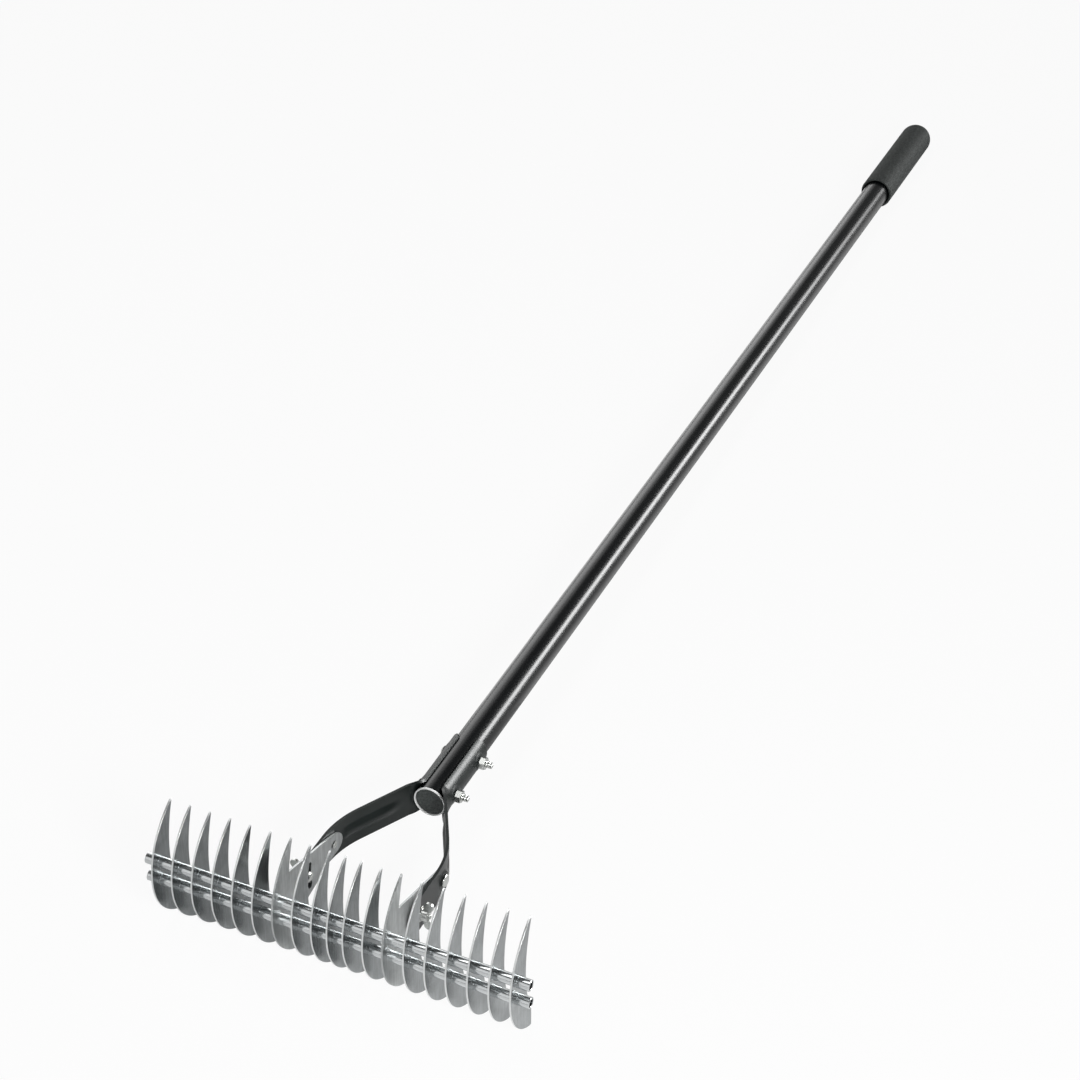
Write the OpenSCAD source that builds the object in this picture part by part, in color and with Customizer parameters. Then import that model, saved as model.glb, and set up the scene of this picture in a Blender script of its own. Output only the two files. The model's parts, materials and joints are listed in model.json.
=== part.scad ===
// Thatch rake: crescent blades on two rods, tilting on a stamped wishbone at the end of a tube handle.
// It lies as it rests on a floor, with the lower blade tips and the end of the grip down.
// +X runs along the rods, +Y along the handle towards the grip, +Z up. Millimetres.

/* [Blades] */
// Height of a blade from tip to tip
blade_h = 118; // [100:1:140]
// How far the front edge bows out ahead of the tips
blade_bow = 37.5; // [34:0.5:42]
// How far the rear edge is hollowed ahead of the tips
blade_hollow = 9.7; // [6:0.1:13]
// Height of the straight heel at the foot of the rear edge
heel_h = 17; // [10:1:24]
// Width of the blunt tips
tip_w = 1.6; // [1:0.1:3]
// Thickness of the blade steel
blade_t = 1.6; // [1.2:0.1:2.5]
// Spacing of the middle blade and its neighbours
centre_pitch = 13.8; // [12:0.1:16]
// Spacing of the blades outside the brackets
outer_pitch = 18.05; // [17.5:0.05:22]

/* [Rods] */
// Outside diameter of the rods
rod_d = 9.6; // [8:0.1:12]
// Wall of the rods
rod_wall = 1.2; // [0.8:0.1:2]
// Distance between the rod centres
rod_gap = 18.8; // [16:0.1:24]
// Height of the rods' middle above the blades' middle
rod_lift = 2; // [-3:0.5:4]
// Length of rod outside the end blades
rod_over = 11.5; // [4:0.5:20]

/* [Bracket blades] */
// Distance of each bracket blade from the middle of the head
bracket_x = 48; // [44:0.5:60]
// Distance of the tilting pivot behind the blade tips
pivot_back = 64; // [58:0.5:75]
// Depth of the pivot below the blades' middle
pivot_drop = 3; // [0:0.5:6]
// Radius of the rounded end round the pivot
tongue_r = 10.5; // [9:0.5:14]
// Height of the root of the tongue's upper edge above the blades' middle
tongue_rise = 30; // [26:0.5:34]
// Depth of the root of the tongue's lower edge below the blades' middle
tongue_fall = 26; // [22:0.5:29]
// Radius of the curved slot about the pivot
slot_r = 42; // [38:0.5:46]
// Angle that the head can tilt each way from rest
tilt_range = 14; // [8:0.5:16]

/* [Handle] */
// Length from the lower end of the tube to the tip of the grip
handle_len = 1372; // [1000:1:1700]
// Outside diameter of the tube
tube_d = 28.6; // [25:0.1:32]
// Wall of the tube
tube_wall = 1.2; // [0.8:0.1:2]
// Distance from the pivot to the lower end of the tube
tube_gap = 79; // [72:0.5:95]
// Depth of the plug's face inside the lower end of the tube
plug_set = 1; // [0.5:0.1:3]
// Outside diameter of the grip
grip_d = 36.4; // [34:0.1:40]
// Length of the grip
grip_len = 174; // [120:1:260]
// Chamfer of the grip's lower rim
grip_rim = 1; // [0.4:0.1:2]

/* [Arms] */
// Width of the arm steel
arm_w = 32; // [30:0.5:38]
// Thickness of the arm steel
arm_t = 2.4; // [1.8:0.1:3.2]
// Radius of the long bend in which an arm turns in towards the tube
bend_r = 88; // [70:1:90]
// Distance ahead of the pivot at which that bend starts, in the arm and in the bracket's tongue
bend_lead = 10; // [6:0.5:12]
// Distance ahead of the tube's lower end at which the arms come in to its sides
meet_out = 1; // [-6:0.5:3]
// Length over which the flat of an arm runs into its half shell
shell_lap = 4; // [2:0.5:8]
// Length of the half shells along the tube
shell_len = 68; // [66:0.5:90]
// Half angle of the tube's side that each shell covers
shell_wrap = 60; // [45:1:70]
// Radius of the rounded corners at the shells' upper ends
shell_corner = 6; // [2:0.5:9]
// Height of the pressed rib above the arm's inner face
rib_h = 2.4; // [1.2:0.1:3]
// Width of the rib at its foot
rib_w = 11; // [9:0.1:14]
// Slope of the rib's flanks and ends
rib_slope = 45; // [40:1:60]
// Distance of the rib's first end past the end of the bracket's tongue
rib_in = 3; // [2:0.5:6]
// Distance that the rib's last end stops short of the tube's side
rib_stop = 10; // [8:0.5:20]

/* [Fasteners] */
// Diameter of every bolt and screw
bolt_d = 6; // [5:0.1:7]
// Width across the flats of the hex nuts
nut_af = 10; // [9:0.5:12]
// Height of the hex nuts
nut_h = 5; // [4:0.1:6]
// Length of bolt that stands out of the clamp nuts
clamp_proud = 6; // [1:0.5:10]
// Length of screw that stands out of the pivot nuts
pivot_proud = 1.5; // [0.5:0.1:3]
// Diameter of the round heads
head_d = 10; // [9:0.5:12]
// Height of the round heads
head_h = 2.6; // [2:0.1:4]
// Distance of the lower clamp bolt from the tube's lower end
bolt_in = 17.5; // [16:0.5:24]
// Distance of the upper clamp bolt from the shells' upper ends
bolt_end = 13.5; // [12:0.5:24]
// Diameter of the pressed seats under the nuts and heads
seat_d = 13; // [12.5:0.5:14]
// Height of the pressed seats
seat_h = 0.4; // [0.2:0.1:0.8]
// Width of the cross recess in the pivot screws
recess_w = 1.2; // [0.8:0.1:1.6]
// Length of the cross recess in the pivot screws
recess_l = 5.5; // [4:0.1:7]
// Diameter of the washers
washer_d = 14; // [12:0.5:18]
// Thickness of the washers
washer_t = 1.2; // [0.8:0.1:1.6]

/* [Wing nuts] */
// Span of the wings
wing_span = 28; // [24:0.5:34]
// Height of the wings above the washer
wing_h = 10.5; // [9:0.1:11]
// Thickness of the wings
wing_t = 2.6; // [2:0.1:4]
// Radius of the round ends of the wings
wing_lobe = 4.2; // [3:0.1:4.5]
// Diameter of the hub at its base
hub_d = 11; // [10:0.5:13]
// Diameter of the hub at its top
hub_top = 9.4; // [8:0.1:11]
// Height of the hub
hub_h = 6; // [5:0.1:7]
// Length of bolt that stands out of the hub
wing_proud = 2; // [0.5:0.1:3]

/* [Fits] */
// Gap between flat faces that slide past each other
slip = 0.2; // [0.1:0.05:0.3]
// Gap between a bracket's tongue and the arm outside it
arm_gap = 0.5; // [0.45:0.05:0.8]
// Radial clearance of a pin that turns in its hole
run_clear = 0.06; // [0.02:0.01:0.1]
// Radial clearance of pieces that are fixed together
seat_clear = 0.05; // [0.02:0.01:0.1]
// Clearance of the bolt in the curved slot, each side
slot_clear = 0.35; // [0.3:0.05:0.6]

/* [Hidden] */
$fn = 96;
blade_count = 19;
mid_blade = 10;
left_bracket = 7;
right_bracket = 13;
bracket_step = right_bracket - mid_blade;

// One form is let into the next by this much, so that their faces cross
let_in = 0.05;
let_a = 1;

function two_digits(i) = i < 10 ? str("0", i) : str(i);
function blade_node(i) =
    i == left_bracket ? "left_bracket" : i == right_bracket ? "right_bracket" : str("blade_", two_digits(i));

tube_black = "#14171a";
grip_grey = "#484b4a";
plug_grey = "#3f4444";
arm_black = "#2b302f";
blade_steel = "#b4b8b8";
rod_bright = "#d4d7d7";
zinc = "#c8cac6";

// Handle line: it passes through the pivot, and tilts down until the round end of the grip meets the floor
tube_r = tube_d / 2;
grip_r = grip_d / 2;
dome_at = tube_gap + handle_len - grip_r;
pivot_h = blade_h / 2 - pivot_drop;
tilt = asin((pivot_h - grip_r) / dome_at);

// Places along the row's Y axis, with the box of the whole rake centred on the origin
reach = pivot_back + dome_at * cos(tilt) + grip_r;
tip_y = (blade_bow - reach) / 2;
pivot_y = tip_y + pivot_back;

// Blade outline: one arc in front, one behind
front_rise = blade_bow - tip_w / 2;
front_r = (pow(blade_h / 2, 2) + pow(front_rise, 2)) / (2 * front_rise);
rear_rise = blade_hollow + tip_w / 2;
rear_half = (blade_h + tip_w / 2 - heel_h) / 2;
rear_r = (pow(rear_half, 2) + pow(rear_rise, 2)) / (2 * rear_rise);
rear_mid = heel_h + rear_half;
rod_back = -(blade_bow + blade_hollow) / 2;
rod_heights = [for (s = [-1, 1]) blade_h / 2 + rod_lift + s * rod_gap / 2];

inner_pitch = (bracket_x - centre_pitch) / (bracket_step - 1);
end_x = bracket_x + (mid_blade - 1 - bracket_step) * outer_pitch;

// Tongue of a bracket blade
pivot_at = [pivot_back, pivot_h];
upper_root = blade_h / 2 + tongue_rise;
lower_root = blade_h / 2 - tongue_fall;
tongue_upper = [rear_edge(upper_root), upper_root];
tongue_lower = [rear_edge(lower_root), lower_root];
slot_w = bolt_d + 2 * slot_clear;

// Arm path in plan, for the right side, measured from the pivot along the handle line
arm_in = bracket_x + blade_t / 2 + arm_gap;
arm_out = arm_in + arm_t;
bend_c = [arm_in + arm_t / 2 - bend_r, -bend_lead];
inner_r = bend_r - arm_t / 2;
outer_r = bend_r + arm_t / 2;
tongue_in_r = inner_r - arm_gap - blade_t;
shell_r = tube_r + seat_clear;
shell_mid = shell_r + arm_t / 2;
meet_at = [shell_mid, tube_gap - meet_out];
bend_a = atan2(meet_at.y - bend_c.y, meet_at.x - bend_c.x) - acos(bend_r / norm(meet_at - bend_c));
bend_end = bend_c + bend_r * [cos(bend_a), sin(bend_a)];
run_len = (bend_end.x - shell_mid * cos(shell_wrap)) / sin(bend_a);
run_end = bend_end.y + run_len * cos(bend_a);
shell_from = run_end - shell_lap;
shell_to = shell_from + shell_len;
edge_h = (shell_r + arm_t) * sin(shell_wrap);
strip_h = (shell_r - arm_t / 8) * sin(shell_wrap);
taper_from = tube_gap - arm_w / 4;

// Pressed rib: a bead on the inner face with its hollow in the outer face, as thick as the rest of the arm
rib_a = asin((bend_lead + tongue_r + rib_in) / bend_r);
rib_step = arm_t / 8;
rib_run = norm(meet_at - bend_end) - rib_stop;
hollow_w = rib_w - 2 * arm_t * tan(rib_slope / 2);

// Fastener places along the handle line and stacks along X
clamp_places = [tube_gap + bolt_in, shell_to - bolt_end];
clamp_seat = shell_r + arm_t + seat_h;
head_seat = bracket_x - blade_t / 2 - slip;
pivot_head_seat = bend_x(tongue_in_r, head_d / 2) - slip;
pivot_seat = bend_x(outer_r, -seat_d / 2) + seat_h;
pivot_seat_root = (bend_x(inner_r, -seat_d / 2) + bend_x(outer_r, seat_d / 2)) / 2;
wing_seat = arm_out + washer_t + slip;
plug_len = bolt_in - bolt_d / 2 - plug_set - tube_wall;

// Place along X of a face of the long bend, at a radius of the bend and a place along the handle
function bend_x(r, y) = bend_c.x + sqrt(pow(r, 2) - pow(y + bend_lead, 2));

// Distance ahead of the tips of a blade's rear edge at a height
function rear_edge(z) = rear_r - blade_hollow - sqrt(pow(rear_r, 2) - pow(z - rear_mid, 2));

// Point where a line from p touches a circle, on its left (side 1) or right (side -1)
function touch(p, c, r, side) =
    let (d = c - p, a = atan2(d.y, d.x) + side * asin(r / norm(d)), l = sqrt(d * d - r * r))
    p + l * [cos(a), sin(a)];

function blade_x(i) =
    let (k = i - mid_blade, n = abs(k))
    sign(k) * (n <= bracket_step ? centre_pitch + (n - 1) * inner_pitch
                                 : bracket_x + (n - bracket_step) * outer_pitch);

// Frame of the handle: origin on the pivot, +Y up the tube
module on_handle() translate([0, pivot_y, pivot_h]) rotate([-tilt, 0, 0]) children();

// An outline drawn in (Y, Z) becomes a plate square to X
module plate(thick) rotate([90, 0, 90]) linear_extrude(thick, center = true) children();

// A shaft along +X from one place to another
module shaft(r, from, to) translate([from, 0, 0]) rotate([0, 90, 0]) cylinder(r = r, h = to - from);

// The left pieces are mirror images of the right ones
module side(right) mirror([right ? 0 : 1, 0, 0]) children();

// Blades

module crescent()
    difference() {
        intersection() {
            translate([front_r - blade_bow, blade_h / 2]) circle(r = front_r);
            translate([-2 * blade_bow, 0]) square([2 * blade_bow + tip_w / 2, blade_h]);
        }
        translate([rear_r - blade_hollow, rear_mid]) circle(r = rear_r);
    }

module rod_holes()
    for (z = rod_heights) translate([rod_back, z]) circle(r = rod_d / 2 + seat_clear);

// The curved slot is centred on the bolt's place at rest
module curved_slot()
    translate(pivot_at) rotate(180 - tilt) {
        intersection() {
            difference() {
                circle(r = slot_r + slot_w / 2);
                circle(r = slot_r - slot_w / 2);
            }
            polygon([[0, 0], for (s = [-1, 1]) 2 * slot_r * [cos(tilt_range), s * sin(tilt_range)]]);
        }
        for (s = [-1, 1]) rotate(s * tilt_range) translate([slot_r, 0]) circle(r = slot_w / 2 + let_in);
    }

// Web of the tongue, its edges running from inside the crescent into the round end
module tongue_web()
    let (
        top = touch(tongue_upper, pivot_at, tongue_r - let_in, 1),
        foot = touch(tongue_lower, pivot_at, tongue_r - let_in, -1),
        top_root = tongue_upper + tip_w * (tongue_upper - top) / norm(tongue_upper - top),
        foot_root = tongue_lower + tip_w * (tongue_lower - foot) / norm(tongue_lower - foot)
    )
    polygon([top_root, top, foot, foot_root, [rod_back, foot_root.y], [rod_back, top_root.y]]);

module blade(i)
    color(blade_steel) translate([blade_x(i), tip_y, 0]) plate(blade_t)
        difference() {
            crescent();
            rod_holes();
        }

// Plan of the tongue: flat past the slot, then bent along the inside of the arm
module tongue_plan() {
    translate([bracket_x - blade_t / 2, rod_back - pivot_back])
        square([blade_t, pivot_back - rod_back - bend_lead]);
    bend_strip(tongue_in_r, tongue_in_r + blade_t, 2 * asin((bend_lead + tongue_r) / bend_r));
}

// Strip of the long bend between two radii, from its start to an angle
module bend_strip(from_r, to_r, a)
    translate(bend_c) intersection() {
        difference() {
            circle(r = to_r - let_in);
            circle(r = from_r + let_in);
        }
        polygon([[0, 0], for (b = [-let_a, a]) 2 * bend_r * [cos(b), sin(b)]]);
    }

module tongue_side() {
    tongue_web();
    translate(pivot_at) circle(r = tongue_r);
}

module bracket(right)
    color(blade_steel) translate([0, tip_y, 0]) side(right) difference() {
        union() {
            translate([bracket_x, 0, 0]) plate(blade_t) crescent();
            intersection() {
                translate([0, pivot_back, 0]) linear_extrude(blade_h) tongue_plan();
                plate(4 * bracket_x) tongue_side();
            }
        }
        plate(4 * bracket_x) rod_holes();
        plate(4 * bracket_x) curved_slot();
        plate(4 * bracket_x) translate(pivot_at) circle(r = bolt_d / 2 + run_clear);
    }

module rod(z)
    color(rod_bright) translate([0, tip_y + rod_back, z]) difference() {
        shaft(rod_d / 2, -end_x - rod_over, end_x + rod_over);
        shaft(rod_d / 2 - rod_wall, -end_x - rod_over - 1, end_x + rod_over + 1);
    }

// Handle

module handle_tube()
    color(tube_black) on_handle() difference() {
        rotate([-90, 0, 0]) translate([0, 0, tube_gap]) difference() {
            cylinder(r = tube_r, h = handle_len - grip_r);
            translate([0, 0, -1]) cylinder(r = tube_r - tube_wall, h = handle_len - grip_r + 2);
        }
        for (y = clamp_places) translate([0, y, 0]) shaft(bolt_d / 2 + seat_clear, -tube_d, tube_d);
    }

module end_plug()
    color(plug_grey) on_handle() rotate([-90, 0, 0]) translate([0, 0, tube_gap + plug_set])
        cylinder(r = tube_r - tube_wall - seat_clear, h = plug_len);

module grip()
    color(grip_grey) on_handle() rotate([-90, 0, 0]) translate([0, 0, tube_gap + handle_len - grip_len])
        difference() {
            union() {
                cylinder(r1 = grip_r - grip_rim, r2 = grip_r, h = grip_rim);
                translate([0, 0, grip_rim]) cylinder(r = grip_r, h = grip_len - grip_r - grip_rim);
                translate([0, 0, grip_len - grip_r]) sphere(r = grip_r);
            }
            translate([0, 0, -1]) cylinder(r = tube_r + seat_clear, h = grip_len - grip_r + 1);
        }

// Arms

// Plan of the arm: straight past the slot bolt, round the long bend, and straight to the tube
module arm_plan() {
    translate([arm_in, -slot_r - arm_w / 2]) square([arm_t, slot_r + arm_w / 2 - bend_lead]);
    bend_strip(inner_r, outer_r, bend_a + let_a);
    translate(bend_end) rotate(bend_a) translate([-arm_t / 2, 0]) square([arm_t, run_len]);
}

// Side view of the arm: round about the slot bolt, drawn in where it meets the shell
module arm_side() {
    translate([-slot_r, 0]) circle(r = arm_w / 2);
    polygon([
        [-slot_r, -arm_w / 2],
        [taper_from, -arm_w / 2],
        [run_end, -strip_h],
        [run_end, strip_h],
        [taper_from, arm_w / 2],
        [-slot_r, arm_w / 2]
    ]);
}

// Pressed form that follows the arm, rising inwards from a face at a radius of the bend, rooted behind it
module rib(face, foot_w, root)
    translate([bend_c.x, bend_c.y, 0]) difference() {
        union() {
            rotate([0, 0, rib_a]) rotate_extrude(angle = bend_a - rib_a + let_a)
                translate([face, 0]) rib_section(foot_w, root, let_in);
            rotate([0, 0, bend_a]) translate([face, rib_step, 0]) rotate([-90, 0, 0])
                linear_extrude(rib_run) rib_section(foot_w, root, 0);
        }
        rotate([0, 0, rib_a]) translate([face, 0, 0]) rib_end(90 - rib_slope);
        rotate([0, 0, bend_a]) translate([face, rib_run, 0]) rib_end(rib_slope - 90);
    }

module rib_section(foot_w, root, less)
    let (crest = foot_w / 2 - rib_h / tan(rib_slope) - less, base = foot_w / 2 + root / tan(rib_slope) - less)
    polygon([[root, -base], [less - rib_h, -crest], [less - rib_h, crest], [root, base]]);

// Block that cuts one end of the rib to a slope
module rib_end(a) rotate([0, 0, a]) translate([-arm_w, -arm_w / 2, -arm_w / 2]) cube(arm_w);

module half_shell()
    intersection() {
        rotate([-90, 0, 0]) translate([0, 0, shell_from]) rotate([0, 0, -shell_wrap])
            rotate_extrude(angle = 2 * shell_wrap) translate([shell_r - arm_t, 0])
                square([2 * arm_t, shell_len]);
        plate(4 * tube_d) {
            translate([shell_from - 1, -tube_d]) square([shell_len + 1 - shell_corner, 2 * tube_d]);
            translate([shell_to - shell_corner - 1, shell_corner - edge_h])
                square([shell_corner + 1, 2 * (edge_h - shell_corner)]);
            for (s = [-1, 1])
                translate([shell_to - shell_corner, s * (edge_h - shell_corner)]) circle(r = shell_corner);
        }
    }

module arm()
    difference() {
        union() {
            intersection() {
                linear_extrude(2 * arm_w, center = true) arm_plan();
                plate(8 * bracket_x) arm_side();
            }
            rib(inner_r, rib_w, arm_t / 2);
            half_shell();
            shaft(seat_d / 2, pivot_seat_root, pivot_seat);
            for (y = clamp_places) translate([0, y, 0]) shaft(seat_d / 2, tube_r / 2, clamp_seat);
        }
        rib(outer_r, hollow_w, arm_t);
        rotate([-90, 0, 0]) cylinder(r = shell_r, h = 2 * shell_to);
        shaft(bolt_d / 2 + seat_clear, 0, 2 * arm_out);
        translate([0, -slot_r, 0]) shaft(bolt_d / 2 + seat_clear, 0, 2 * arm_out);
        for (y = clamp_places) translate([0, y, 0]) shaft(bolt_d / 2 + seat_clear, 0, 2 * arm_out);
    }

module left_arm() color(arm_black) on_handle() side(false) arm();

module right_arm() color(arm_black) on_handle() side(true) arm();

// Fasteners, each along +X

// Low domed head, its flat seat at x = 0 and its crown towards -X
module round_head()
    let (crown = (pow(head_d / 2, 2) + pow(head_h, 2)) / (2 * head_h))
    intersection() {
        translate([crown - head_h, 0, 0]) sphere(r = crown);
        shaft(head_d, -2 * head_h, 0);
    }

// Hex nut with chamfered corners, standing on x = 0
module hex_nut(bore)
    let (corner = nut_af / 2 / cos(30), drop = (corner - nut_af / 2) * tan(30))
    rotate([0, 90, 0]) difference() {
        intersection() {
            cylinder(r = corner, h = nut_h, $fn = 6);
            rotate_extrude() polygon([
                [0, 0], [nut_af / 2, 0], [corner, drop], [corner, nut_h - drop], [nut_af / 2, nut_h], [0, nut_h]
            ]);
        }
        translate([0, 0, -1]) cylinder(r = bore, h = nut_h + 2);
    }

module clamp_bolt(y)
    color(zinc) on_handle() translate([0, y, 0]) {
        translate([-clamp_seat, 0, 0]) round_head();
        shaft(bolt_d / 2, -clamp_seat, clamp_seat + nut_h + clamp_proud);
    }

module clamp_nut(y)
    color(zinc) on_handle() translate([clamp_seat, y, 0]) hex_nut(bolt_d / 2 + seat_clear);

module pivot_screw(right)
    color(zinc) on_handle() side(right) {
        translate([pivot_head_seat, 0, 0]) difference() {
            round_head();
            for (a = [0, 90]) rotate([a, 0, 0])
                translate([-head_h, 0, 0]) cube([head_h, recess_l, recess_w], center = true);
        }
        shaft(bolt_d / 2, pivot_head_seat, pivot_seat + nut_h + pivot_proud);
    }

module pivot_nut(right)
    color(zinc) on_handle() side(right) translate([pivot_seat, 0, 0]) hex_nut(bolt_d / 2 + seat_clear);

module slot_bolt(right)
    color(zinc) on_handle() side(right) translate([0, -slot_r, 0]) {
        translate([head_seat, 0, 0]) round_head();
        shaft(bolt_d / 2, head_seat, wing_seat + hub_h + wing_proud);
    }

module wing_washer(right)
    color(zinc) on_handle() side(right) translate([0, -slot_r, 0]) difference() {
        shaft(washer_d / 2, arm_out, arm_out + washer_t);
        shaft(bolt_d / 2 + seat_clear, arm_out - 1, arm_out + washer_t + 1);
    }

// Half outline of a wing, across (first) and up the bolt (second)
module wing_outline()
    let (
        lobe = [wing_span / 2 - wing_lobe, wing_h - wing_lobe],
        foot = [hub_d / 2, hub_h / 6],
        neck = [hub_top / 4, hub_h],
        lobe_r = wing_lobe - let_in
    ) {
        translate(lobe) circle(r = wing_lobe);
        polygon([
            [0, foot.y], foot, touch(foot, lobe, lobe_r, -1), lobe,
            touch(neck, lobe, lobe_r, 1), neck, [0, neck.y]
        ]);
    }

module wing_nut(right)
    color(zinc) on_handle() side(right) translate([wing_seat, -slot_r, 0]) difference() {
        rotate([0, 90, 0]) {
            cylinder(d1 = hub_d, d2 = hub_top, h = hub_h);
            for (s = [0, 180])
                rotate([90, 0, s]) linear_extrude(wing_t, center = true) wing_outline();
        }
        shaft(bolt_d / 2 + run_clear, -1, wing_h + 1);
    }

handle_tube();
end_plug();
grip();
left_arm();
right_arm();
clamp_bolt(clamp_places[0]);  // clamp_bolt_lower
clamp_bolt(clamp_places[1]);  // clamp_bolt_upper
clamp_nut(clamp_places[0]);  // clamp_nut_lower
clamp_nut(clamp_places[1]);  // clamp_nut_upper
pivot_screw(false);  // left_pivot_screw
pivot_screw(true);  // right_pivot_screw
pivot_nut(false);  // left_pivot_nut
pivot_nut(true);  // right_pivot_nut
slot_bolt(false);  // left_slot_bolt
slot_bolt(true);  // right_slot_bolt
wing_washer(false);  // left_wing_washer
wing_washer(true);  // right_wing_washer
wing_nut(false);  // left_wing_nut
wing_nut(true);  // right_wing_nut
rod(rod_heights[1]);  // upper_rod
rod(rod_heights[0]);  // lower_rod
bracket(false);  // left_bracket
bracket(true);  // right_bracket
for (i = [1 : blade_count])
    if (i != left_bracket && i != right_bracket)
        blade(i);
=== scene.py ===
import json
from math import acos, asin, atan2, copysign, cos, hypot, pi, radians, sin, sqrt, tan

import bmesh
import bpy
from bpy.props import FloatProperty, FloatVectorProperty, PointerProperty
from mathutils import Euler, Matrix, Vector


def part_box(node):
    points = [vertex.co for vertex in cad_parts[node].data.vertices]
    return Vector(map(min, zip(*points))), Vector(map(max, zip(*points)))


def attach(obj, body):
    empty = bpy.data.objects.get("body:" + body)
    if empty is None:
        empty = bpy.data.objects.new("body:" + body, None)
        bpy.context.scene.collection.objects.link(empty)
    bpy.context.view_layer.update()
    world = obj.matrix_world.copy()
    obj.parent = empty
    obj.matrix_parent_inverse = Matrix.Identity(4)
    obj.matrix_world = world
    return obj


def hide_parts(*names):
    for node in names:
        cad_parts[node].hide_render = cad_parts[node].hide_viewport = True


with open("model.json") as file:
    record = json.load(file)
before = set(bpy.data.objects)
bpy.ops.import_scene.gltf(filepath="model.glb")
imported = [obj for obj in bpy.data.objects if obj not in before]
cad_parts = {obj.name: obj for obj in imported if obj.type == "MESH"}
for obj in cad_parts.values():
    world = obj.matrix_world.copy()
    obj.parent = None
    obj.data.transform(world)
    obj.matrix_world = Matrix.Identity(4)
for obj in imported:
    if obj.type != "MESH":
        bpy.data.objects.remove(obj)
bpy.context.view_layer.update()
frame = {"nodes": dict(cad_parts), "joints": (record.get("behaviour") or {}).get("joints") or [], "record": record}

bl_info = {
    "name": "Thatch rake",
    "version": (1, 0, 0),
    "blender": (4, 5, 0),
    "location": "3D View > Sidebar > Rake",
    "description": "Dresses the packed thatch rake and lights it on a white floor",
    "category": "Object",
}

MM = 0.001
JOINTS = {joint["name"]: joint for joint in frame["joints"]}
PIVOT = Vector(JOINTS["head_tilt"]["pos_m"])
TUBE_AXIS = Vector(frame["record"]["mounts"][0]["axis"])
# Frame of the handle: origin on the pivot, +Y up the tube
HANDLE = Matrix.Translation(PIVOT) @ Matrix.Rotation(asin(TUBE_AXIS.z), 4, "X")
TO_HANDLE = HANDLE.inverted()
SIDES = {"left": -1, "right": 1}
BLADES = sorted(name for name in frame["nodes"] if name.startswith("blade_"))

# How a copy of a solid is joined into one skin: merging distance and the bend under which a face is flat
MERGE_DISTANCE = 0.002 * MM
FLAT_BEND = radians(0.3)
# How finely the arms are drawn: columns across the sheet, length of a row, fewest rows of a stretch,
# and the curl under which a row is straight
ARM_COLUMNS = 36
ARM_ROW = 0.9 * MM
ARM_LEAST_ROWS = 6
STRAIGHT = 1e-6
# Small steps of a bolt's turned form: edge of the head, end of the thread, chamfer of the tip
HEAD_RIM = 0.25 * MM
HEAD_UNDERCUT = 0.15 * MM
THREAD_RUNOUT = 0.2 * MM
TIP_LENGTH = 1.1 * MM
TIP_CHAMFER = 0.9 * MM
# Gaps of the grip: round the tube, past the tube's end, and inside the solid's own box
GRIP_BORE_GAP = 0.05 * MM
GRIP_END_GAP = 0.2 * MM
GRIP_INSET = 0.02 * MM
# Share of the depth of the grip's mouth over which the gap is full
MOUTH_OPEN = 0.6
# Tolerances that tell a pivot screw's head from its shank
HEAD_TOLERANCE = 0.01 * MM
SHANK_TOLERANCE = 0.05 * MM
# A blade's face looks along X at least this much; its edge looks along X less
FACE_LIMIT = 0.9

# Half side of the floor in metres, and width of the camera's sensor in millimetres
FLOOR_REACH = 12
SENSOR_WIDTH = 36
# The way to the room's brighter side, and how far along it the light grows from the middle
BRIGHT_SIDE = (0.9, 0.2, 0)
BRIGHT_REACH = 0.9
# Each lamp's place, aim and sides in metres, its power in watts, and whether it shows in gloss alone
LAMPS = {
    "key_softbox": ((1.6, -1.9, 1.3), (0, -0.6, 0), (0.7, 0.7), 40, False),
    "front_card": ((-0.75, -2.6, 1.1), (0, -0.7, 0.05), (2.4, 1.8), 10, False),
    "overhead": ((-0.6, -0.5, 3), (-0.3, -0.45, 0), (2.2, 0.9), 20, False),
    "streak_strip": ((1.075, 0.95, 0.62), (0, 0.95, 0.05), (2.2, 0.49), 69, True),
    "streak_end": ((1.075, 2.4, 0.62), (0, 2.4, 0.05), (0.7, 0.49), 6, True),
    "left_card": ((-1.28, 1.5, 0.62), (0, 1.5, 0.05), (3.4, 1.02), 26, True),
    "left_fade": ((-0.8, 1.5, 1.2), (0, 1.5, 0.05), (3.4, 0.54), 5, True),
    "right_bounce": ((0.055, 0.35, 0.004), (0.055, 0.36, 1), (0.075, 1.5), 0.16, True),
    "left_bounce": ((-0.2, 0.35, 0.004), (-0.2, 0.36, 1), (0.3, 1.5), 1.3, True),
}


def linear(code):
    """sRGB hex to linear colour."""
    parts = [int(code[i:i + 2], 16) / 255 for i in (1, 3, 5)]
    return tuple(part / 12.92 if part <= 0.04045 else ((part + 0.055) / 1.055) ** 2.4 for part in parts)


def span(node):
    """Lowest and highest corner of a solid in the handle's frame."""
    points = [TO_HANDLE @ vertex.co for vertex in frame["nodes"][node].data.vertices]
    return [Vector([pick(point[axis] for point in points) for axis in range(3)]) for pick in (min, max)]


def size(name, about, default):
    """A length that a user can change, given in millimetres."""
    return FloatProperty(name=name, description=about, default=default * MM, unit="LENGTH", precision=5)


def hue(name, about, code):
    """A colour that a user can change, given as sRGB hex."""
    return FloatVectorProperty(name=name, description=about, default=linear(code), subtype="COLOR",
                               min=0, max=1)


def share(name, about, default):
    """A part of the whole that a user can change."""
    return FloatProperty(name=name, description=about, default=default, subtype="FACTOR", min=0, max=1)


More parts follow.
